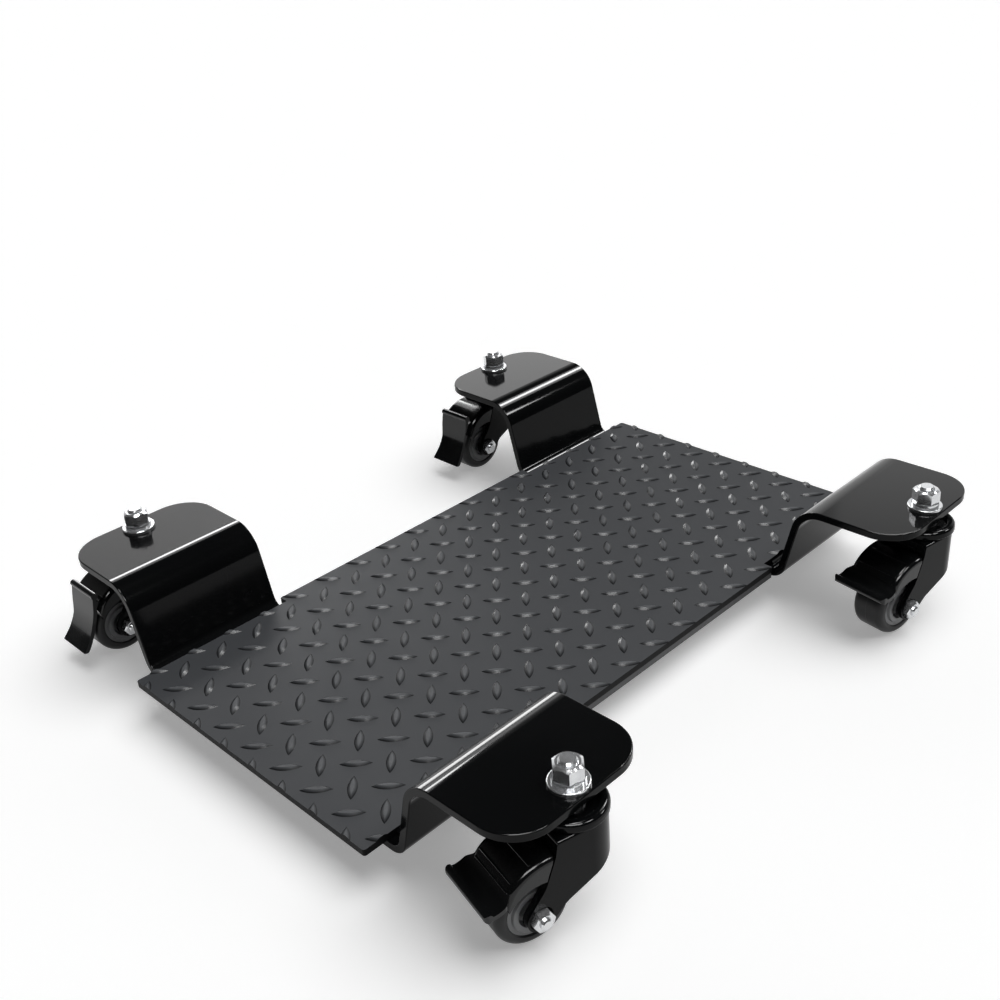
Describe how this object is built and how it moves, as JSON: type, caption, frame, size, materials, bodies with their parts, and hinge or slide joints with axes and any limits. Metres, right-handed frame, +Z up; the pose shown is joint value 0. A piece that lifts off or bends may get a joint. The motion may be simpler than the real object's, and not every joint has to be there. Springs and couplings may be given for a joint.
{
  "type": "motorcycle mover dolly",
  "caption": "Low tread-plate dolly on raised Z brackets with braked swivel casters, for moving a motorcycle on its centre stand.",
  "frame": {"origin": "on the floor, below the middle of the deck", "axes": "+X along the deck's long side, +Y along its short side, +Z up"},
  "size_m": [0.564, 0.5169, 0.1112],
  "materials": {
    "deck_grey": "satin dark grey powder coat",
    "bar_grey": "satin dark grey powder coat",
    "gloss_black": "gloss black powder coat",
    "pedal_black": "gloss black moulding",
    "zinc": "bright zinc plate",
    "spring_steel": "plain steel",
    "tyre": "satin black tread",
    "hub": "satin grey moulding",
    "bush": "turned steel"
  },
  "bodies": {
    "frame": {"deck_plate": "deck_grey", "side_bar_left": "bar_grey", "side_bar_right": "bar_grey", "weld_beads": "gloss_black", "caster_stems": "zinc", "stem_nuts": "zinc", "spring_washers": "zinc", "flat_washers": "zinc", "race_caps": "gloss_black", "swivel_bearing_rings": "spring_steel", "bracket_rear_left": "gloss_black", "bracket_front_left": "gloss_black", "bracket_rear_right": "gloss_black", "bracket_front_right": "gloss_black"},
    "swivel_rear_left": {"fork_rear_left": "gloss_black", "axle_bolt_rear_left": "zinc", "axle_nut_rear_left": "zinc", "pedal_pin_rear_left": "gloss_black", "brake_leaf_rear_left": "spring_steel"},
    "wheel_rear_left": {"tyre_rear_left": "tyre", "wheel_hub_rear_left": "hub", "axle_bush_rear_left": "bush"},
    "pedal_rear_left": {"brake_pedal_rear_left": "pedal_black"},
    "swivel_front_left": {"fork_front_left": "gloss_black", "axle_bolt_front_left": "zinc", "axle_nut_front_left": "zinc", "pedal_pin_front_left": "gloss_black", "brake_leaf_front_left": "spring_steel"},
    "wheel_front_left": {"tyre_front_left": "tyre", "wheel_hub_front_left": "hub", "axle_bush_front_left": "bush"},
    "pedal_front_left": {"brake_pedal_front_left": "pedal_black"},
    "swivel_rear_right": {"fork_rear_right": "gloss_black", "axle_bolt_rear_right": "zinc", "axle_nut_rear_right": "zinc", "pedal_pin_rear_right": "gloss_black", "brake_leaf_rear_right": "spring_steel"},
    "wheel_rear_right": {"tyre_rear_right": "tyre", "wheel_hub_rear_right": "hub", "axle_bush_rear_right": "bush"},
    "pedal_rear_right": {"brake_pedal_rear_right": "pedal_black"},
    "swivel_front_right": {"fork_front_right": "gloss_black", "axle_bolt_front_right": "zinc", "axle_nut_front_right": "zinc", "pedal_pin_front_right": "gloss_black", "brake_leaf_front_right": "spring_steel"},
    "wheel_front_right": {"tyre_front_right": "tyre", "wheel_hub_front_right": "hub", "axle_bush_front_right": "bush"},
    "pedal_front_right": {"brake_pedal_front_right": "pedal_black"}
  },
  "joints": [
    {"name": "swivel_turn_rear_left", "type": "hinge", "parent": "frame", "child": "swivel_rear_left", "pos_m": [-0.205, 0.235, 0.06], "axis": [0, 0, 1], "continuous": true},
    {"name": "wheel_roll_rear_left", "type": "hinge", "parent": "swivel_rear_left", "child": "wheel_rear_left", "pos_m": [-0.241, 0.235, 0.0255], "axis": [0, -1, 0], "continuous": true},
    {"name": "pedal_rock_rear_left", "type": "hinge", "parent": "swivel_rear_left", "child": "pedal_rear_left", "pos_m": [-0.225, 0.235, 0.0608], "axis": [0, 1, 0], "range_deg": [0, 6]},
    {"name": "swivel_turn_front_left", "type": "hinge", "parent": "frame", "child": "swivel_front_left", "pos_m": [0.205, 0.235, 0.06], "axis": [0, 0, 1], "continuous": true},
    {"name": "wheel_roll_front_left", "type": "hinge", "parent": "swivel_front_left", "child": "wheel_front_left", "pos_m": [0.169, 0.235, 0.0255], "axis": [0, -1, 0], "continuous": true},
    {"name": "pedal_rock_front_left", "type": "hinge", "parent": "swivel_front_left", "child": "pedal_front_left", "pos_m": [0.185, 0.235, 0.0608], "axis": [0, 1, 0], "range_deg": [0, 6]},
    {"name": "swivel_turn_rear_right", "type": "hinge", "parent": "frame", "child": "swivel_rear_right", "pos_m": [-0.205, -0.235, 0.06], "axis": [0, 0, 1], "continuous": true},
    {"name": "wheel_roll_rear_right", "type": "hinge", "parent": "swivel_rear_right", "child": "wheel_rear_right", "pos_m": [-0.23993, -0.22629, 0.0255], "axis": [-0.2419, -0.9703, 0], "continuous": true},
    {"name": "pedal_rock_rear_right", "type": "hinge", "parent": "swivel_rear_right", "child": "pedal_rear_right", "pos_m": [-0.22441, -0.23016, 0.0608], "axis": [0.2419, 0.9703, 0], "range_deg": [0, 6]},
    {"name": "swivel_turn_front_right", "type": "hinge", "parent": "frame", "child": "swivel_front_right", "pos_m": [0.205, -0.235, 0.06], "axis": [0, 0, 1], "continuous": true},
    {"name": "wheel_roll_front_right", "type": "hinge", "parent": "swivel_front_right", "child": "wheel_front_right", "pos_m": [0.16944, -0.22937, 0.0255], "axis": [-0.1564, -0.9877, 0], "continuous": true},
    {"name": "pedal_rock_front_right", "type": "hinge", "parent": "swivel_front_right", "child": "pedal_front_right", "pos_m": [0.18525, -0.23187, 0.0608], "axis": [0.1564, 0.9877, 0], "range_deg": [0, 6]}
  ]
}
